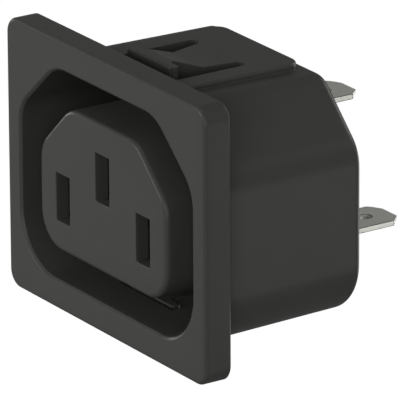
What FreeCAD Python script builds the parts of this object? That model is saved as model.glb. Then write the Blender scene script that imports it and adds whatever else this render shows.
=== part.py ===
import FreeCAD, Part
import math
import os

# Snap-in panel outlet for mains plugs: a moulded housing with a plug core, three stamped contacts
# with quick-connect tabs, and a cover that closes the contact chambers from behind.
# Millimetres. X runs to the right seen from the front, Y runs into the panel, Z is up.
# The origin is the middle of the flange's rear face, which seats on the panel.

# Flange
flange_width = 34.6
flange_height = 27.7
flange_thickness = 3.0
flange_corner = 1.7
flange_front_edge = 0.4
flange_rear_edge = 0.25

# Shell behind the flange, sized where it meets the flange
shell_half_width = 15.8
shell_half_height = 11.85
shell_depth = 16.2
shell_chamfer_width = 6.3
shell_chamfer_height = 6.1
shell_shoulder_round = 3.0
shell_side_round = 4.5
shell_bottom_round = 6.0
shell_rear_edge = 1.0
shell_draft_angle = 1.0

# Plug recess, sized at its mouth
recess_half_width = 15.0
recess_half_height = 10.8
recess_chamfer_width = 6.3
recess_chamfer_height = 5.65
recess_shoulder_round = 4.5
recess_side_round = 4.0
recess_bottom_round = 5.6
recess_mouth_edge = 0.25
recess_draft_angle = 0.5
rear_wall = 2.6

# Plug core in the middle of the recess, standing slightly proud of the flange
core_half_width = 11.1
core_half_height = 7.5
core_chamfer_width = 5.2
core_chamfer_height = 5.0
core_shoulder_round = 3.4
core_side_round = 3.4
core_bottom_round = 3.6
core_front_edge = 0.5
core_front_wall = 1.5
core_proud = 0.25

# Pin slots in the core
pin_pitch = 14.0
earth_offset = 4.0
slot_width = 2.4
slot_height = 4.9

# Raised pads above and below the shell, with a snap tongue cut out of each
pad_half_width = 7.0
pad_half_height = 12.3
pad_setback = 1.2
pad_corner = 1.5
pad_edge = 0.15
window_half_width = 4.6
window_gap = 0.5
slit_length = 9.8
slit_width = 1.3
tongue_droop = 0.25
tongue_neck_half_width = 2.0
hook_half_width = 3.9
panel_gap = 2.1
hook_bar = 1.0
hook_corner = 0.4
hook_height = 1.0
hook_front_edge = 0.2
hook_flat = 0.35
hook_crest_round = 0.35
ramp_length = 3.2

# Stamped contacts
strip_thickness = 0.6
tab_width = 4.8
tab_reach = 9.1
tab_tip_chamfer = 1.2
tab_bevel_depth = 0.12
tab_bevel_length = 0.8
detent_hole_diameter = 1.3
detent_hole_setback = 2.9
box_width = 5.4
bend_inner_radius = 0.3
line_tab_drop = 2.85
earth_tab_rise = 3.45
leaf_height = 4.4
leaf_mouth_gap = 3.0
leaf_throat_gap = 1.7
leaf_mouth_setback = 0.5
leaf_lead_in = 2.4
leaf_reach = 5.0
leaf_bend_radius = 1.0

# Rear cover
cover_thickness = 1.6
cover_margin = 0.6
cover_edge = 0.2

# Clearances
cover_clearance = 0.05
end_clearance = 0.05
chamber_clearance = 0.05
slot_clearance = 0.1
tab_clearance = 0.1

# Levels that several pieces share
front_face = -flange_thickness
core_front = front_face - core_proud
recess_floor = shell_depth - rear_wall
cover_seat = shell_depth - cover_thickness
chamber_front = core_front + core_front_wall
line_pin_height = -earth_offset / 2
earth_pin_height = earth_offset / 2


def in_cross_section(y):
    """Place outline points in the upright plane across the part at depth y."""
    return lambda u, v: FreeCAD.Vector(u, y, v)


def in_plan(z):
    """Place outline points in the level plane at height z."""
    return lambda u, v: FreeCAD.Vector(u, v, z)


def in_profile(x):
    """Place outline points in the upright plane along the part at x."""
    return lambda u, v: FreeCAD.Vector(x, u, v)


def unit(start, end):
    """Return the direction from one outline point to the next."""
    length = math.hypot(end[0] - start[0], end[1] - start[1])
    return (end[0] - start[0]) / length, (end[1] - start[1]) / length


def corner_directions(corners, index):
    """Return the directions in which an outline enters and leaves one of its corners."""
    before = corners[index - 1]
    here = corners[index]
    after = corners[(index + 1) % len(corners)]
    return unit(before, here), unit(here, after)


def inset(corners, distance):
    """Move every side of a convex outline inwards; corners run anticlockwise as (u, v, radius)."""
    moved = []
    for index, (u, v, radius) in enumerate(corners):
        (u1, v1), (u2, v2) = corner_directions(corners, index)
        share = distance / (1 + u1 * u2 + v1 * v2)
        moved.append((u - share * (v1 + v2), v + share * (u1 + u2), max(radius - distance, 0.0)))
    return moved


def rounded_wire(corners, place):
    """Join (u, v, radius) corners by straight sides, with a tangent arc at each rounded corner."""
    edges = []
    stops = []
    for index, (u, v, radius) in enumerate(corners):
        (u1, v1), (u2, v2) = corner_directions(corners, index)
        half_turn = math.acos(max(-1.0, min(1.0, u1 * u2 + v1 * v2))) / 2
        reach = radius * math.tan(half_turn)
        begin = place(u - reach * u1, v - reach * v1)
        end = place(u + reach * u2, v + reach * v2)
        if radius > 0:
            depth = radius * (1 / math.cos(half_turn) - 1) / (2 * math.sin(half_turn))
            middle = place(u + depth * (u2 - u1), v + depth * (v2 - v1))
            edges.append(Part.Arc(begin, middle, end).toShape())
        stops.append((begin, end))
    for index, (begin, end) in enumerate(stops):
        previous_end = stops[index - 1][1]
        edges.append(Part.LineSegment(previous_end, begin).toShape())
    return Part.Wire(Part.__sortEdges__(edges))


def prism(corners, place, direction):
    """Extrude a rounded outline along a direction."""
    return Part.Face(rounded_wire(corners, place)).extrude(direction)


def along_y(length):
    """Return a vector of this length along Y."""
    return FreeCAD.Vector(0, length, 0)


def along_z(length):
    """Return a vector of this length along Z."""
    return FreeCAD.Vector(0, 0, length)


def drafted(corners, start, end, angle):
    """Loft an outline along Y from start to end, narrowing by the draft angle."""
    narrowing = (end - start) * math.tan(math.radians(angle))
    near = rounded_wire(corners, in_cross_section(start))
    far = rounded_wire(inset(corners, narrowing), in_cross_section(end))
    return Part.makeLoft([near, far], True, True)


def rectangle(half_width, low, high, radius=0.0):
    """Return the corners of a rectangle about the middle line, anticlockwise."""
    return [
        (-half_width, low, radius),
        (half_width, low, radius),
        (half_width, high, radius),
        (-half_width, high, radius),
    ]


def plug_outline(half_width, half_height, chamfer_width, chamfer_height, shoulder, side, bottom):
    """Return the corners of the plug shape: round below, with two slanted corners above."""
    return [
        (-half_width, -half_height, bottom),
        (half_width, -half_height, bottom),
        (half_width, half_height - chamfer_height, side),
        (half_width - chamfer_width, half_height, shoulder),
        (chamfer_width - half_width, half_height, shoulder),
        (-half_width, half_height - chamfer_height, side),
    ]


def box(x_low, x_high, y_low, y_high, z_low, z_high):
    """Make a box from its limits."""
    size = (x_high - x_low, y_high - y_low, z_high - z_low)
    return Part.makeBox(*size, FreeCAD.Vector(x_low, y_low, z_low))


def edges_in_plane(shape, axis, level):
    """Pick the edges of a shape that lie in the plane where one coordinate has this level."""
    tolerance = 1e-6
    picked = []
    for edge in shape.Edges:
        limits = edge.BoundBox
        low = (limits.XMin, limits.YMin, limits.ZMin)[axis]
        high = (limits.XMax, limits.YMax, limits.ZMax)[axis]
        if abs(low - level) < tolerance and abs(high - level) < tolerance:
            picked.append(edge)
    return picked


shell_corners = plug_outline(
    shell_half_width, shell_half_height, shell_chamfer_width, shell_chamfer_height,
    shell_shoulder_round, shell_side_round, shell_bottom_round)
recess_corners = plug_outline(
    recess_half_width, recess_half_height, recess_chamfer_width, recess_chamfer_height,
    recess_shoulder_round, recess_side_round, recess_bottom_round)
core_corners = plug_outline(
    core_half_width, core_half_height, core_chamfer_width, core_chamfer_height,
    core_shoulder_round, core_side_round, core_bottom_round)
pocket_corners = inset(core_corners, cover_margin)
cover_corners = inset(pocket_corners, cover_clearance)


class Station:
    """Place of one contact: its pin slot, the level of its tab, and which way up it lies."""

    def __init__(self, x, pin_height, tab_face, upright):
        self.x = x
        self.pin_height = pin_height
        self.tab_face = tab_face
        self.upright = upright
        self.outward = -1 if upright else 1

    def tab_limits(self, clearance):
        """Return the lowest and highest level of the tab strip, widened by a clearance."""
        other_face = self.tab_face - self.outward * strip_thickness
        low, high = sorted((self.tab_face, other_face))
        return low - clearance, high + clearance

    def chamber_limits(self):
        """Return the lowest and highest level of the chamber that holds the contact."""
        slot_end = self.pin_height - self.outward * (slot_height / 2 + slot_clearance)
        return sorted((self.tab_face + self.outward * chamber_clearance, slot_end))


stations = {
    "line_contact": Station(pin_pitch / 2, line_pin_height,
                            line_pin_height - line_tab_drop - strip_thickness, True),
    "neutral_contact": Station(-pin_pitch / 2, line_pin_height,
                               line_pin_height - line_tab_drop - strip_thickness, True),
    "earth_contact": Station(0.0, earth_pin_height,
                             earth_pin_height + earth_tab_rise + strip_thickness, False),
}


def make_flange():
    """Make the flange plate with its softened edges, before the recess is opened."""
    corners = rectangle(flange_width / 2, -flange_height / 2, flange_height / 2, flange_corner)
    plate = prism(corners, in_cross_section(front_face), along_y(flange_thickness))
    plate = plate.makeFillet(flange_front_edge, edges_in_plane(plate, 1, front_face))
    return plate.makeChamfer(flange_rear_edge, edges_in_plane(plate, 1, 0.0))


def make_shell():
    """Make the drafted shell as a solid, with its rear edge rounded."""
    solid = drafted(shell_corners, 0.0, shell_depth, shell_draft_angle)
    return solid.makeFillet(shell_rear_edge, edges_in_plane(solid, 1, shell_depth))


def make_pads():
    """Make the block whose top and bottom stand out of the shell as the two raised pads."""
    pad_rear = shell_depth - pad_setback
    corners = [
        (-pad_half_width, 0.0, 0.0),
        (pad_half_width, 0.0, 0.0),
        (pad_half_width, pad_rear, pad_corner),
        (-pad_half_width, pad_rear, pad_corner),
    ]
    block = prism(corners, in_plan(-pad_half_height), along_z(2 * pad_half_height))
    rims = edges_in_plane(block, 2, pad_half_height) + edges_in_plane(block, 2, -pad_half_height)
    rims = [edge for edge in rims if edge.BoundBox.YMax > 0]
    return block.makeChamfer(pad_edge, rims)


def make_core():
    """Make the plug core, rooted in the rear wall, with its front edge rounded."""
    solid = prism(core_corners, in_cross_section(core_front), along_y(shell_depth - core_front))
    return solid.makeFillet(core_front_edge, edges_in_plane(solid, 1, core_front))


def tongue_outline():
    """Return the plan of the snap tongue from its root to the cross bar of its hook."""
    root_half_width = window_half_width - slit_width
    bar_rear = panel_gap + hook_bar
    return [
        (-hook_half_width, panel_gap, hook_corner),
        (hook_half_width, panel_gap, hook_corner),
        (hook_half_width, bar_rear, hook_corner),
        (tongue_neck_half_width, bar_rear, hook_corner),
        (root_half_width, slit_length, 0.0),
        (-root_half_width, slit_length, 0.0),
        (-tongue_neck_half_width, bar_rear, hook_corner),
        (-hook_half_width, bar_rear, hook_corner),
    ]


def tongue_top(y):
    """Return the height of the tongue's top at depth y; it falls gently from the root to the hook."""
    return pad_half_height - tongue_droop * (slit_length - y) / (slit_length - panel_gap)


def make_window(wall_low, wall_high):
    """Make the U-shaped opening that frees a snap tongue, with the fall of the tongue's top."""
    height = along_z(wall_high - wall_low)
    front = panel_gap - window_gap
    opening = prism(rectangle(window_half_width, front, slit_length), in_plan(wall_low), height)
    opening = opening.cut(prism(tongue_outline(), in_plan(wall_low), height))
    fall = [
        (panel_gap, tongue_top(panel_gap), 0.0),
        (slit_length, tongue_top(slit_length), 0.0),
        (slit_length, wall_high, 0.0),
        (panel_gap, wall_high, 0.0),
    ]
    across = FreeCAD.Vector(2 * hook_half_width, 0, 0)
    opening = opening.fuse(prism(fall, in_profile(-hook_half_width), across))
    for side in (-1, 1):
        end = FreeCAD.Vector(side * (window_half_width - slit_width / 2), slit_length, wall_low)
        opening = opening.fuse(Part.makeCylinder(slit_width / 2, height.z, end))
    return opening


def make_hook():
    """Make the hook that stands on the tongue: steep towards the flange, with a ramp behind."""
    crest = pad_half_height + hook_height
    ramp_start = panel_gap + hook_bar + hook_flat
    ramp_end = ramp_start + ramp_length
    profile = [
        (panel_gap, recess_half_height, 0.0),
        (ramp_end, recess_half_height, 0.0),
        (ramp_end, tongue_top(ramp_end), 0.0),
        (ramp_start, crest, hook_crest_round),
        (panel_gap, crest, hook_front_edge),
    ]
    wedge = prism(profile, in_profile(-hook_half_width), FreeCAD.Vector(2 * hook_half_width, 0, 0))
    plan = prism(tongue_outline(), in_plan(recess_half_height), along_z(crest))
    return wedge.common(plan)


def make_housing():
    """Make the one-piece housing."""
    body = make_flange().fuse(make_shell()).fuse(make_pads()).removeSplitter()
    body = body.cut(drafted(recess_corners, front_face, recess_floor, recess_draft_angle))
    mouth_limits = FreeCAD.BoundBox(-recess_half_width, front_face, -recess_half_height,
                                    recess_half_width, front_face, recess_half_height)
    mouth_limits.enlarge(recess_mouth_edge)
    mouth = [edge for edge in edges_in_plane(body, 1, front_face) if mouth_limits.isInside(edge.BoundBox)]
    body = body.makeChamfer(recess_mouth_edge, mouth)
    hook = make_hook()
    window = make_window(core_half_height, pad_half_height + hook_height)
    for turn in (0, 180):
        axis = FreeCAD.Vector(0, 1, 0)
        body = body.cut(window.rotated(FreeCAD.Vector(), axis, turn))
        body = body.fuse(hook.rotated(FreeCAD.Vector(), axis, turn))
    body = body.fuse(make_core())
    for station in stations.values():
        slot = box(station.x - slot_width / 2, station.x + slot_width / 2, core_front, chamber_front,
                   station.pin_height - slot_height / 2, station.pin_height + slot_height / 2)
        half_width = box_width / 2 + chamber_clearance
        chamber = box(station.x - half_width, station.x + half_width, chamber_front, cover_seat,
                      *station.chamber_limits())
        body = body.cut(slot).cut(chamber)
    body = body.cut(prism(pocket_corners, in_cross_section(cover_seat), along_y(cover_thickness)))
    return body.removeSplitter()


def make_rear_cover():
    """Make the cover plate with a slot for each tab."""
    plate = prism(cover_corners, in_cross_section(cover_seat), along_y(cover_thickness))
    plate = plate.makeChamfer(cover_edge, edges_in_plane(plate, 1, shell_depth))
    for station in stations.values():
        half_width = tab_width / 2 + tab_clearance
        plate = plate.cut(box(station.x - half_width, station.x + half_width, cover_seat, shell_depth,
                              *station.tab_limits(tab_clearance)))
    return plate


def leaf_outline(wall_front):
    """Return the plan of one spring leaf: bowed in to the throat, flared at the mouth."""
    half = strip_thickness / 2
    mouth = chamber_front + leaf_mouth_setback
    throat = mouth + leaf_lead_in
    middle_line = [
        (box_width / 2 - half, wall_front + leaf_lead_in),
        (box_width / 2 - half, wall_front),
        (leaf_throat_gap / 2 + half, throat),
        (leaf_mouth_gap / 2 + half, mouth),
    ]
    return thick_line(middle_line, half, leaf_bend_radius)


def thick_line(points, half, radius):
    """Return the corners of a strip of sheet that follows a bent middle line."""
    last = len(points) - 1
    left_side = []
    right_side = []
    for index, (u, v) in enumerate(points):
        u1, v1 = unit(points[max(index - 1, 0)], points[max(index, 1)])
        u2, v2 = unit(points[min(index, last - 1)], points[min(index + 1, last)])
        share = half / (1 + u1 * u2 + v1 * v2)
        at_end = index in (0, last)
        inside = 0.0 if at_end else radius
        outside = 0.0 if at_end else radius + 2 * half
        turns_left = u1 * v2 > v1 * u2
        left_side.append((u - share * (v1 + v2), v + share * (u1 + u2), inside if turns_left else outside))
        right_side.append((u + share * (v1 + v2), v - share * (u1 + u2), outside if turns_left else inside))
    return right_side + left_side[::-1]


def make_contact(station):
    """Make one stamped contact: a channel with two spring leaves in front and a tab behind."""
    pin_rise = abs(station.tab_face - station.pin_height)
    top = pin_rise + leaf_height / 2
    wall_front = chamber_front + leaf_mouth_setback + leaf_lead_in + leaf_reach
    wall_rear = cover_seat - end_clearance
    half = box_width / 2
    bend = bend_inner_radius + strip_thickness
    channel = [
        (-half, 0.0, bend),
        (half, 0.0, bend),
        (half, top, 0.0),
        (half - strip_thickness, top, 0.0),
        (half - strip_thickness, strip_thickness, bend_inner_radius),
        (strip_thickness - half, strip_thickness, bend_inner_radius),
        (strip_thickness - half, top, 0.0),
        (-half, top, 0.0),
    ]
    contact = prism(channel, in_cross_section(wall_front), along_y(wall_rear - wall_front))
    tip = shell_depth + tab_reach
    blade = [
        (-half + bend, wall_rear, 0.0),
        (half - bend, wall_rear, 0.0),
        (half - bend, wall_rear + bend, 0.0),
        (tab_width / 2, wall_rear + bend, 0.0),
        (tab_width / 2, tip - tab_tip_chamfer, 0.0),
        (tab_width / 2 - tab_tip_chamfer, tip, 0.0),
        (tab_tip_chamfer - tab_width / 2, tip, 0.0),
        (-tab_width / 2, tip - tab_tip_chamfer, 0.0),
        (-tab_width / 2, wall_rear + bend, 0.0),
        (-half + bend, wall_rear + bend, 0.0),
    ]
    tip_profile = [
        (wall_rear, 0.0, 0.0),
        (tip - tab_bevel_length, 0.0, 0.0),
        (tip, tab_bevel_depth, 0.0),
        (tip, strip_thickness - tab_bevel_depth, 0.0),
        (tip - tab_bevel_length, strip_thickness, 0.0),
        (wall_rear, strip_thickness, 0.0),
    ]
    tab = prism(blade, in_plan(0.0), along_z(strip_thickness))
    tab = tab.common(prism(tip_profile, in_profile(-half), FreeCAD.Vector(box_width, 0, 0)))
    contact = contact.fuse(tab)
    leaf = prism(leaf_outline(wall_front), in_plan(top - leaf_height), along_z(leaf_height))
    contact = contact.fuse(leaf).fuse(leaf.mirror(FreeCAD.Vector(), FreeCAD.Vector(1, 0, 0)))
    hole_place = FreeCAD.Vector(0, tip - detent_hole_setback, 0)
    contact = contact.cut(Part.makeCylinder(detent_hole_diameter / 2, strip_thickness, hole_place))
    contact = contact.removeSplitter()
    if not station.upright:
        contact.rotate(FreeCAD.Vector(), FreeCAD.Vector(0, 1, 0), 180)
    contact.translate(FreeCAD.Vector(station.x, 0, station.tab_face))
    return contact


os.makedirs("parts", exist_ok=True)
pieces = {"housing": make_housing(), "rear_cover": make_rear_cover()}
for name, station in stations.items():
    pieces[name] = make_contact(station)
for name, shape in pieces.items():
    print(name, shape.isValid(), len(shape.Solids), round(shape.Volume, 2), shape.BoundBox)
    shape.exportStep("parts/" + name + ".step")
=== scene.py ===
"""Looks of a snap-in power outlet for panels.

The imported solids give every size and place. Each one is copied, its sharp edges get the small
radius that a mould or a punch leaves, and it is dressed in moulded black plastic or tin-plated
strip with bare sheared edges. A pale floor, soft lamps and a long lens stand round it.
"""

import logging
import math
from dataclasses import dataclass
from enum import Enum

import bmesh
import bpy
from mathutils import Matrix, Vector


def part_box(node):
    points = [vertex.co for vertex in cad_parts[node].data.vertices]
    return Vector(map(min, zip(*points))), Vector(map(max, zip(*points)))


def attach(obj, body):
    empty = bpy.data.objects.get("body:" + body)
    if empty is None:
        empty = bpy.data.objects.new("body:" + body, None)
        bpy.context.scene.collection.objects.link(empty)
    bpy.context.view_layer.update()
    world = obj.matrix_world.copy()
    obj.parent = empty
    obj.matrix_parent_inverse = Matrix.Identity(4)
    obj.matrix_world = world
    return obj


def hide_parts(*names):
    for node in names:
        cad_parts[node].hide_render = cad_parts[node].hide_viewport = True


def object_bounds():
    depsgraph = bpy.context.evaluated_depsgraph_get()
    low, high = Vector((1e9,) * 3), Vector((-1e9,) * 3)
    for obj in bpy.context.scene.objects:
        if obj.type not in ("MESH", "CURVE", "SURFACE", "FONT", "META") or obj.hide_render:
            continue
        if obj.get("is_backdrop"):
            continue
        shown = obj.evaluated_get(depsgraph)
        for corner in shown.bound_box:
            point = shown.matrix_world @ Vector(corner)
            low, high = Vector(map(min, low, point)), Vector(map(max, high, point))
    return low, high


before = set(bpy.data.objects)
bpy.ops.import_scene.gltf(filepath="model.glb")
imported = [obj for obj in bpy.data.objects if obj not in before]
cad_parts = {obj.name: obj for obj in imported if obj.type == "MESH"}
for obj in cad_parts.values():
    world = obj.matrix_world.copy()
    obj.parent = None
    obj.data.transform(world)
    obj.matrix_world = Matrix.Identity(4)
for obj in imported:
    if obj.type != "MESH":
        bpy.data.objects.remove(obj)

LOG = logging.getLogger("panel_outlet")
MM = 0.001

# Attribute that marks the softened edges: rubbed lighter on the plastic, drawn darker on the strip
RUB = "rub"

# Face layer that the even shading reads, and its value for a face that has little say
FACE_WEIGHT = "__mod_weightednormals_faceweight"
LITTLE_WEIGHT = -16384

# Mean distance of a square's points from its middle, in widths of the square
MEAN_REACH = 0.3826


class Slot(Enum):
    """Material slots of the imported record."""

    PLASTIC = "black_plastic"
    STRIP = "plated_strip"


class Pole(Enum):
    """Contacts by the pole that they carry, each with the name of its solid."""

    LINE = "line_contact"
    NEUTRAL = "neutral_contact"
    EARTH = "earth_contact"


class Ray(Enum):
    """Kinds of ray that see the background, each with its socket on a light path node."""

    CAMERA = "Is Camera Ray"
    GLOSSY = "Is Glossy Ray"
    TRANSMISSION = "Is Transmission Ray"


Colour = tuple[float, float, float, float]


def tint(level: float, red: float = 1.0, blue: float = 1.0) -> Colour:
    """Return a grey of this linear level with its red and blue shares scaled."""
    return level * red, level, level * blue, 1.0


class NodePlan:
    """Node tree of a material or a world while it is being put together."""

    def __init__(self, tree: bpy.types.NodeTree) -> None:
        """Start with an empty tree.

        Args:
            tree: Tree to fill.
        """
        self.tree: bpy.types.NodeTree = tree
        self.tree.nodes.clear()

    def node(self, kind: str, settings: dict[str, object] | None = None,
             **inputs: object) -> bpy.types.Node:
        """Add a node, set its options and fill or link its sockets.

        Args:
            kind: Type of the node.
            settings: Values of the node's own properties.
            inputs: Socket names with underscores for blanks, each with a value or an output.

        Returns:
            The new node.
        """
        made = self.tree.nodes.new(kind)
        for key, value in (settings or {}).items():
            setattr(made, key, value)
        for key, value in inputs.items():
            self.feed(made.inputs[key.replace("_", " ")], value)
        return made

    def feed(self, socket: bpy.types.NodeSocket, value: object) -> None:
        """Link an output to a socket, or set the socket's own value.

        Args:
            socket: Input to fill.
            value: Output of another node, or a plain value.
        """
        if isinstance(value, bpy.types.NodeSocket):
            self.tree.links.new(value, socket)
        else:
            socket.default_value = value

    def place(self) -> bpy.types.NodeSocket:
        """Return the coordinates of the piece itself."""
        return self.node("ShaderNodeTexCoord").outputs["Object"]

    def edges(self) -> bpy.types.NodeSocket:
        """Return how far a point lies on a softened edge of the piece."""
        return self.node("ShaderNodeAttribute", {"attribute_name": RUB}).outputs["Fac"]

    def stretched(self, place: bpy.types.NodeSocket,
                  scale: tuple[float, float, float]) -> bpy.types.NodeSocket:
        """Return coordinates scaled along each axis."""
        return self.node("ShaderNodeMapping", Vector=place, Scale=scale).outputs["Vector"]

    def noise(self, place: bpy.types.NodeSocket, size: float, detail: float = 2.0,
              rough: float = 0.5) -> bpy.types.NodeSocket:
        """Add a noise pattern.

        Args:
            place: Coordinates that the pattern reads.
            size: Width of its blotches in metres.
            detail: Number of finer layers.
            rough: Weight of the finer layers.

        Returns:
            The pattern's factor, from 0 to 1.
        """
        made = self.node("ShaderNodeTexNoise", {"noise_dimensions": "3D"}, Vector=place,
                         Scale=1.0 / size, Detail=detail, Roughness=rough)
        return made.outputs["Fac"]

    def span(self, factor: bpy.types.NodeSocket, low: float, high: float,
             start: float = 0.3, end: float = 0.7) -> bpy.types.NodeSocket:
        """Spread a factor over a range of values.

        Args:
            factor: Pattern to read.
            low: Value where the pattern is at its start or below.
            high: Value where the pattern is at its end or above.
            start: Lower end of the pattern's own range.
            end: Upper end of the pattern's own range.

        Returns:
            The spread value.
        """
        made = self.node("ShaderNodeMapRange", {"clamp": True}, Value=factor, From_Min=start,
                         From_Max=end, To_Min=low, To_Max=high)
        return made.outputs["Result"]

    def blend(self, factor: bpy.types.NodeSocket, first: object, second: object) -> bpy.types.NodeSocket:
        """Blend two colours.

        Args:
            factor: Share of the second colour.
            first: Colour, or an output that gives one, at 0.
            second: Colour, or an output that gives one, at 1.

        Returns:
            The blended colour.
        """
        made = self.node("ShaderNodeMix", {"data_type": "RGBA"}, Factor=factor)
        colours = [socket for socket in made.inputs if socket.type == "RGBA"]
        self.feed(colours[0], first)
        self.feed(colours[1], second)
        return next(socket for socket in made.outputs if socket.type == "RGBA")

    def reckon(self, operation: str, *values: object) -> bpy.types.NodeSocket:
        """Do a sum with up to three values.

        Args:
            operation: Kind of sum.
            values: Plain numbers or outputs.

        Returns:
            The result.
        """
        made = self.node("ShaderNodeMath", {"operation": operation})
        for socket, value in zip(made.inputs, values):
            self.feed(socket, value)
        return made.outputs["Value"]

    def bump(self, height: bpy.types.NodeSocket, depth: float,
             under: bpy.types.NodeSocket | None = None) -> bpy.types.NodeSocket:
        """Raise a pattern from the surface.

        Args:
            height: Pattern, from 0 to 1.
            depth: Height of the relief in metres.
            under: Normal of a coarser relief that carries this one.

        Returns:
            The raised surface's normal.
        """
        made = self.node("ShaderNodeBump", Strength=1.0, Distance=depth, Height=height)
        if under is not None:
            self.feed(made.inputs["Normal"], under)
        return made.outputs["Normal"]

    def background(self, direct: float, mirrored: float) -> bpy.types.NodeSocket:
        """Give the strength of a background for each kind of ray that sees it.

        Args:
            direct: Strength where the camera looks straight at it.
            mirrored: Strength where it is mirrored or seen through something clear.

        Returns:
            The strength.
        """
        path = self.node("ShaderNodeLightPath").outputs
        indirect = self.reckon("MAXIMUM", path[Ray.GLOSSY.value], path[Ray.TRANSMISSION.value])
        straight = self.reckon("MULTIPLY", path[Ray.CAMERA.value], direct)
        return self.reckon("MULTIPLY_ADD", indirect, mirrored, straight)


class Finish:
    """Base of the finishes: turns a plan of nodes into a material."""

    name: str = "finish"

    def material(self) -> bpy.types.Material:
        """Build the finish.

        Returns:
            The finished material.
        """
        made = bpy.data.materials.new(self.name)
        made.use_nodes = True
        plan = NodePlan(made.node_tree)
        plan.node("ShaderNodeOutputMaterial", Surface=self.surface(plan))
        return made

    def surface(self, plan: NodePlan) -> bpy.types.NodeSocket:
        """Put the finish's nodes together and return its shader."""
        raise NotImplementedError


@dataclass(frozen=True)
class MouldedPlastic(Finish):
    """Satin black plastic as it leaves a finely spark-eroded mould, rubbed a little at its edges."""

    name: str = "satin_black_plastic"
    dark: float = 0.058
    light: float = 0.063
    rubbed: float = 0.072
    blue: float = 0.94
    mottle: float = 4.0 * MM
    sheen_low: float = 0.29
    sheen_high: float = 0.36
    mild: tuple[float, float] = (0.15, 0.85)
    rub_least: float = 0.1
    gloss: float = 0.15
    grain: float = 0.16 * MM
    grain_depth: float = 0.0022 * MM
    sink: float = 3.0 * MM
    sink_depth: float = 0.004 * MM

    def surface(self, plan: NodePlan) -> bpy.types.NodeSocket:
        """Join mottled colour, rubbed edges, uneven sheen, mould grain and slight sink waves.

        Args:
            plan: Tree to fill.

        Returns:
            The plastic's shader.
        """
        place = plan.place()
        patches = plan.span(plan.noise(place, self.mottle, detail=4.0), 0.0, 1.0, *self.mild)
        body = plan.blend(patches, tint(self.dark, blue=self.blue), tint(self.light, blue=self.blue))
        wear = plan.span(plan.noise(place, self.sink, detail=3.0), self.rub_least, 1.0)
        rub = plan.reckon("MULTIPLY", plan.edges(), wear)
        colour = plan.blend(rub, body, tint(self.rubbed, blue=self.blue))
        gleam = plan.noise(place, self.mottle / 2.0, detail=3.0)
        sheen = plan.span(gleam, self.sheen_low, self.sheen_high, *self.mild)
        waves = plan.bump(plan.noise(place, self.sink, detail=1.0), self.sink_depth)
        grain = plan.bump(plan.noise(place, self.grain, rough=0.6), self.grain_depth, waves)
        skin = plan.node("ShaderNodeBsdfPrincipled", Base_Color=colour, Roughness=sheen, Normal=grain,
                         Specular_IOR_Level=self.gloss)
        return skin.outputs["BSDF"]


@dataclass(frozen=True)
class TinPlate(Finish):
    """Tin plate on brass strip, with the strip's rolling lines under it."""

    name: str = "tin_plated_strip"
    bright: float = 0.93
    dull: float = 0.85
    red: float = 0.985
    blue: float = 0.92
    polish_low: float = 0.36
    polish_high: float = 0.50
    line_width: float = 0.09 * MM
    line_length: float = 4.0 * MM
    line_depth: float = 0.0015 * MM
    cloud: float = 1.6 * MM
    edge_dark: float = 0.22

    def surface(self, plan: NodePlan) -> bpy.types.NodeSocket:
        """Join a cloudy tint, darker softened edges, streaked polish and fine lines along the strip.

        Args:
            plan: Tree to fill.

        Returns:
            The plating's shader.
        """
        place = plan.place()
        along = plan.stretched(place, (1.0, self.line_width / self.line_length, 1.0))
        lines = plan.noise(along, self.line_width, detail=3.0, rough=0.6)
        clouds = plan.span(plan.noise(place, self.cloud, detail=4.0, rough=0.6), 0.0, 1.0)
        plate = plan.blend(clouds, tint(self.dull, self.red, self.blue),
                           tint(self.bright, self.red, self.blue))
        # The strip is drawn darker along all its softened edges
        colour = plan.blend(plan.edges(), plate, tint(self.edge_dark, self.red, self.blue))
        polish = plan.span(lines, self.polish_low, self.polish_high)
        skin = plan.node("ShaderNodeBsdfPrincipled", Base_Color=colour, Roughness=polish,
                         Normal=plan.bump(lines, self.line_depth), Metallic=1.0)
        return skin.outputs["BSDF"]


@dataclass(frozen=True)
class ShearedEdge(Finish):
    """Edge of the strip that the punch has cut, with brass showing through the smeared tin."""

    name: str = "sheared_strip_edge"
    smeared: float = 0.84
    bare: float = 0.70
    red: float = 1.03
    tin_blue: float = 0.92
    brass_blue: float = 0.78
    polish_low: float = 0.32
    polish_high: float = 0.50
    mark_width: float = 0.06 * MM
    mark_length: float = 0.6 * MM
    mark_depth: float = 0.003 * MM
    patch: float = 0.7 * MM

    def surface(self, plan: NodePlan) -> bpy.types.NodeSocket:
        """Join patches of tin and brass with shear marks through the strip's thickness.

        Args:
            plan: Tree to fill.

        Returns:
            The edge's shader.
        """
        place = plan.place()
        across = plan.stretched(place, (1.0, 1.0, self.mark_width / self.mark_length))
        marks = plan.noise(across, self.mark_width, rough=0.6)
        patches = plan.span(plan.noise(place, self.patch, detail=3.0, rough=0.6), 0.0, 1.0)
        colour = plan.blend(patches, tint(self.smeared, self.red, self.tin_blue),
                            tint(self.bare, self.red, self.brass_blue))
        polish = plan.span(marks, self.polish_low, self.polish_high)
        skin = plan.node("ShaderNodeBsdfPrincipled", Base_Color=colour, Roughness=polish,
                         Normal=plan.bump(marks, self.mark_depth), Metallic=1.0)
        return skin.outputs["BSDF"]


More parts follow.
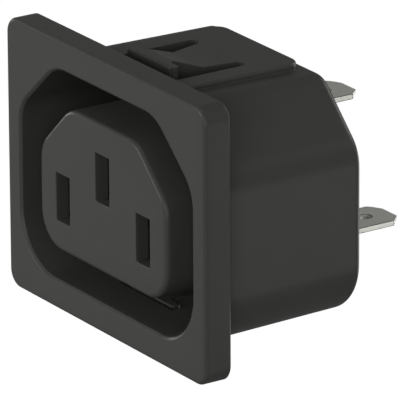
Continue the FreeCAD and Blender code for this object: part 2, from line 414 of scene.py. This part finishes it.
@dataclass(frozen=True)
class FloorPaint(Finish):
    """Matt pale paint that the camera sees as white where no shadow falls."""

    name: str = "pale_paint"
    tone: float = 0.40
    spread: float = 0.01
    blotch: float = 0.2
    direct_lift: float = 0.95
    mirrored_lift: float = 0.02

    def surface(self, plan: NodePlan) -> bpy.types.NodeSocket:
        """Join the paint with the lift that brings it to white.

        Args:
            plan: Tree to fill.

        Returns:
            The floor's shader.
        """
        blotches = plan.noise(plan.place(), self.blotch, detail=3.0)
        tone = plan.span(blotches, self.tone - self.spread, self.tone + self.spread)
        paint = plan.node("ShaderNodeBsdfDiffuse", Color=tone)
        lift = plan.node("ShaderNodeEmission",
                         Strength=plan.background(self.direct_lift, self.mirrored_lift))
        both = plan.node("ShaderNodeAddShader")
        plan.feed(both.inputs[0], paint.outputs["BSDF"])
        plan.feed(both.inputs[1], lift.outputs["Emission"])
        return both.outputs["Shader"]


@dataclass
class SolidPiece:
    """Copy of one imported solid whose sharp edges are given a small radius."""

    node: str
    name: str
    slot: Slot
    edge_radius: float
    edge_steps: int = 3
    edge_angle: float = 35.0
    weld: float = 0.0005 * MM
    flatness: float = 0.4
    draft_slope: float = 0.05
    round_swell: float = 0.02 * MM

    def build(self) -> bpy.types.Object:
        """Copy the solid, weld it, clear its flat faces of inner lines and soften its edges.

        Returns:
            The new piece, standing for the solid on the fixed body.
        """
        shape = bmesh.new()
        shape.from_mesh(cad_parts[self.node].data)
        bmesh.ops.remove_doubles(shape, verts=shape.verts, dist=self.weld)
        bmesh.ops.dissolve_limit(shape, angle_limit=math.radians(self.flatness), verts=shape.verts,
                                 edges=shape.edges)
        self.comb_rounds(shape)
        rub = shape.verts.layers.float.new(RUB)
        weight = shape.faces.layers.int.new(FACE_WEIGHT)
        sharp = [edge for edge in shape.edges if edge.calc_face_angle(0.0) > math.radians(self.edge_angle)]
        softened = bmesh.ops.bevel(shape, geom=sharp, offset=self.edge_radius, offset_type="OFFSET",
                                   segments=self.edge_steps, profile=0.5, affect="EDGES", material=-1,
                                   clamp_overlap=False, loop_slide=True)
        strips = set(softened["faces"])
        for strip in strips:
            strip[weight] = LITTLE_WEIGHT
        for corner in softened["verts"]:
            corner[rub] = float(strips.issuperset(corner.link_faces))
        for face in shape.faces:
            face.smooth = True
            face.material_index = self.finish_number(face)
        mesh = bpy.data.meshes.new(self.name)
        shape.to_mesh(mesh)
        shape.free()
        piece = bpy.data.objects.new(self.name, mesh)
        bpy.context.scene.collection.objects.link(piece)
        even = piece.modifiers.new("even_shading", "WEIGHTED_NORMAL")
        even.mode = "CORNER_ANGLE"
        even.use_face_influence = True
        even.keep_sharp = True
        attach(piece, "root")
        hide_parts(self.node)
        return piece

    def comb_rounds(self, shape: bmesh.types.BMesh) -> None:
        """Clear stray points from the rounds that run along the depth, and span each from end to end.

        Args:
            shape: Welded mesh of the solid.
        """
        shape.normal_update()
        limit = math.radians(self.edge_angle)
        stray = [corner for corner in shape.verts
                 if all(abs(face.normal.y) < self.draft_slope for face in corner.link_faces)
                 and all(edge.calc_face_angle(0.0) < limit for edge in corner.link_edges)]
        bmesh.ops.dissolve_verts(shape, verts=stray)
        shape.normal_update()
        for patch in [face for face in shape.faces if self.is_swept_round(face)]:
            outward = patch.normal.copy()
            ends = [edge for edge in patch.edges
                    if abs(edge.verts[0].co.y - edge.verts[1].co.y) < edge.calc_length() / 2.0]
            bmesh.ops.delete(shape, geom=[patch], context="FACES_ONLY")
            strips = bmesh.ops.bridge_loops(shape, edges=ends)["faces"]
            shape.normal_update()
            turned = [strip for strip in strips if strip.normal.dot(outward) < 0.0]
            bmesh.ops.reverse_faces(shape, faces=turned)

    def is_swept_round(self, face: bmesh.types.BMFace) -> bool:
        """Tell a round that runs along the depth between two arcs.

        Args:
            face: Face of the solid after its stray points are cleared.

        Returns:
            True for such a round while it is still a single face.
        """
        depths = [corner.co.y for corner in face.verts]
        middle = face.calc_center_median()
        swell = max(abs((corner.co - middle).dot(face.normal)) for corner in face.verts)
        at_ends = all(min(depth - min(depths), max(depths) - depth) < self.weld for depth in depths)
        return at_ends and abs(face.normal.y) < self.draft_slope and swell > self.round_swell

    def finish_number(self, face: bmesh.types.BMFace) -> int:
        """Return which of the piece's finishes a face has."""
        return 0

    def dress(self, piece: bpy.types.Object, *finishes: bpy.types.Material) -> None:
        """Give the piece its finishes in the order of their numbers."""
        piece.data.materials.clear()
        for finish in finishes:
            piece.data.materials.append(finish)


@dataclass
class Housing(SolidPiece):
    """Moulded body: flange, sleeve, plug core and the snap tongues in its top and bottom."""

    node: str = "housing"
    name: str = "moulded_housing"
    slot: Slot = Slot.PLASTIC
    edge_radius: float = 0.08 * MM


@dataclass
class RearCover(SolidPiece):
    """Moulded cover that closes the contact chambers from behind."""

    node: str = "rear_cover"
    name: str = "contact_cover"
    slot: Slot = Slot.PLASTIC
    edge_radius: float = 0.08 * MM


@dataclass
class Contact(SolidPiece):
    """Stamped contact of one pole: gripping leaves in front, quick-connect tab behind."""

    pole: Pole = Pole.LINE
    node: str = ""
    name: str = ""
    slot: Slot = Slot.STRIP
    edge_radius: float = 0.10 * MM
    cut_slope: float = 0.35

    def __post_init__(self) -> None:
        """Take the names from the pole and find where the tab leaves the cover."""
        self.node = self.pole.value
        self.name = "stamped_" + self.pole.value
        self.tab_start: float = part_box("rear_cover")[1].y

    def finish_number(self, face: bmesh.types.BMFace) -> int:
        """Tell the sheared edges of the tab from the plated faces.

        Args:
            face: Face of the contact.

        Returns:
            1 on a sheared edge, 0 elsewhere.
        """
        upright = abs(face.normal.z) < self.cut_slope
        return int(upright and face.calc_center_median().y > self.tab_start)


@dataclass(frozen=True)
class Softbox:
    """Square lamp that faces the object, placed by its bearing from the right and its height.

    The light is what a face turned to the lamp receives, where 1 shows a colour as it is written.
    """

    name: str
    bearing: float
    height: float
    light: float
    width: float = 0.40
    distance: float = 1.0
    beam: float = 60.0

    def build(self) -> bpy.types.Object:
        """Place the lamp so that a face turned to it receives the wanted light.

        Returns:
            The lamp.
        """
        bearing, height = math.radians(self.bearing), math.radians(self.height)
        direction = Vector((math.cos(bearing) * math.cos(height),
                            math.sin(bearing) * math.cos(height), math.sin(height)))
        data = bpy.data.lights.new(self.name, "AREA")
        data.shape = "SQUARE"
        data.size = self.width
        half_beam = math.radians(self.beam) / 2.0
        data.spread = 2.0 * half_beam
        focused = 1.0 - half_beam / math.tan(half_beam)
        unmasked = 1.0 - MEAN_REACH * self.width / (self.distance * math.tan(half_beam))
        data.energy = self.light * (math.pi * self.distance) ** 2 * focused / unmasked
        lamp = bpy.data.objects.new(self.name, data)
        lamp.location = direction * self.distance
        lamp.rotation_euler = direction.to_track_quat("Z", "Y").to_euler()
        bpy.context.scene.collection.objects.link(lamp)
        return lamp


@dataclass
class Studio:
    """Pale floor, dim surroundings, soft lamps and the camera with its long lens."""

    floor_drop: float = 250.0 * MM
    floor_half: float = 3.0
    surround: float = 0.115
    mirrored_surround: float = 0.07
    azimuth: float = 57.106
    elevation: float = 19.832
    roll: float = -0.531
    distance: float = 643.9 * MM
    focal_pixels: float = 6754.5
    picture_width: float = 400.0
    origin_pixel: tuple[float, float] = (130.8, 193.43)
    sensor_width: float = 36.0
    nearest: float = 0.01
    farthest: float = 20.0
    # Each with its name, bearing, height and light, then width, distance and beam where they differ.
    # The low cards stand for pale boards that throw light up from below.
    lamps: tuple[Softbox, ...] = (
        Softbox("front_softbox", -110.0, 16.0, 0.42, 0.12, 0.30, 90.0),
        Softbox("camera_side_softbox", -45.0, 13.0, 0.37, 0.70, 1.00, 80.0),
        Softbox("right_softbox", 0.0, 10.0, 0.12),
        Softbox("high_right_softbox", 60.0, 32.0, 0.04),
        Softbox("rear_softbox", 98.0, 22.0, 0.17, 0.45),
        Softbox("top_softbox", -90.0, 78.0, 0.07, 0.45),
        Softbox("left_softbox", -168.0, 4.0, 0.16),
        Softbox("low_right_card", 39.0, -18.0, 0.088, 0.28, 0.60),
        Softbox("low_left_card", -147.0, -20.0, 0.026, 0.24, 0.60),
        Softbox("low_rear_card", 100.0, -15.0, 0.12, 0.24, 0.60),
    )

    def build_floor(self, lowest: float, paint: bpy.types.Material) -> bpy.types.Object:
        """Lay the floor below the object.

        Args:
            lowest: Level of the object's lowest point.
            paint: Finish of the floor.

        Returns:
            The floor.
        """
        shape = bmesh.new()
        bmesh.ops.create_grid(shape, x_segments=1, y_segments=1, size=self.floor_half)
        bmesh.ops.translate(shape, verts=shape.verts, vec=(0.0, 0.0, lowest - self.floor_drop))
        mesh = bpy.data.meshes.new("pale_floor")
        shape.to_mesh(mesh)
        shape.free()
        mesh.materials.append(paint)
        floor = bpy.data.objects.new("pale_floor", mesh)
        bpy.context.scene.collection.objects.link(floor)
        floor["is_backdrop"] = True
        return floor

    def build_surround(self) -> bpy.types.World:
        """Fill the surroundings with dim even light, white where the camera looks into them.

        Returns:
            The surroundings.
        """
        world = bpy.data.worlds.new("pale_surround")
        world.use_nodes = True
        plan = NodePlan(world.node_tree)
        seen = plan.background(1.0 - self.surround, self.mirrored_surround)
        sky = plan.node("ShaderNodeBackground", Color=tint(1.0),
                        Strength=plan.reckon("ADD", seen, self.surround))
        plan.node("ShaderNodeOutputWorld", Surface=sky.outputs["Background"])
        bpy.context.scene.world = world
        return world

    def build_lamps(self) -> list[bpy.types.Object]:
        """Place every lamp and return them."""
        return [lamp.build() for lamp in self.lamps]

    def build_camera(self) -> bpy.types.Object:
        """Place the camera where the picture was taken from.

        Returns:
            The camera.
        """
        azimuth, elevation, roll = (math.radians(v) for v in (self.azimuth, self.elevation, self.roll))
        back = Vector((math.sin(azimuth) * math.cos(elevation),
                       -math.cos(azimuth) * math.cos(elevation), math.sin(elevation)))
        level = Vector((math.cos(azimuth), math.sin(azimuth), 0.0))
        upright = back.cross(level)
        right = level * math.cos(roll) + upright * math.sin(roll)
        up = upright * math.cos(roll) - level * math.sin(roll)
        middle = self.picture_width / 2.0
        aim = (right * (middle - self.origin_pixel[0]) / self.focal_pixels
               - up * (middle - self.origin_pixel[1]) / self.focal_pixels - back).normalized()
        right = aim.cross(up).normalized()
        up = right.cross(aim)
        data = bpy.data.cameras.new("long_lens")
        data.sensor_width = self.sensor_width
        data.lens = self.focal_pixels / self.picture_width * data.sensor_width
        data.clip_start = self.nearest
        data.clip_end = self.farthest
        camera = bpy.data.objects.new("camera", data)
        turn = Matrix((right, up, -aim)).transposed().to_4x4()
        camera.matrix_world = Matrix.Translation(back * self.distance) @ turn
        bpy.context.scene.collection.objects.link(camera)
        bpy.context.scene.camera = camera
        return camera


def main() -> None:
    """Build every piece, dress it and set the stage."""
    logging.basicConfig(level=logging.INFO, format="%(message)s")
    cad_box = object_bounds()
    plastic = MouldedPlastic().material()
    strip = (TinPlate().material(), ShearedEdge().material())
    parts: list[tuple[SolidPiece, tuple[bpy.types.Material, ...]]] = [
        (Housing(), (plastic,)),
        (RearCover(), (plastic,)),
    ]
    parts += [(Contact(pole=pole), strip) for pole in Pole]
    for part, finishes in parts:
        piece = part.build()
        part.dress(piece, *finishes)
        LOG.info("%s: %d faces", piece.name, len(piece.data.polygons))
    studio = Studio()
    studio.build_floor(cad_box[0].z, FloorPaint().material())
    studio.build_surround()
    studio.build_lamps()
    studio.build_camera()
    bpy.context.scene.view_settings.view_transform = "Standard"


if __name__ == "__main__":
    main()
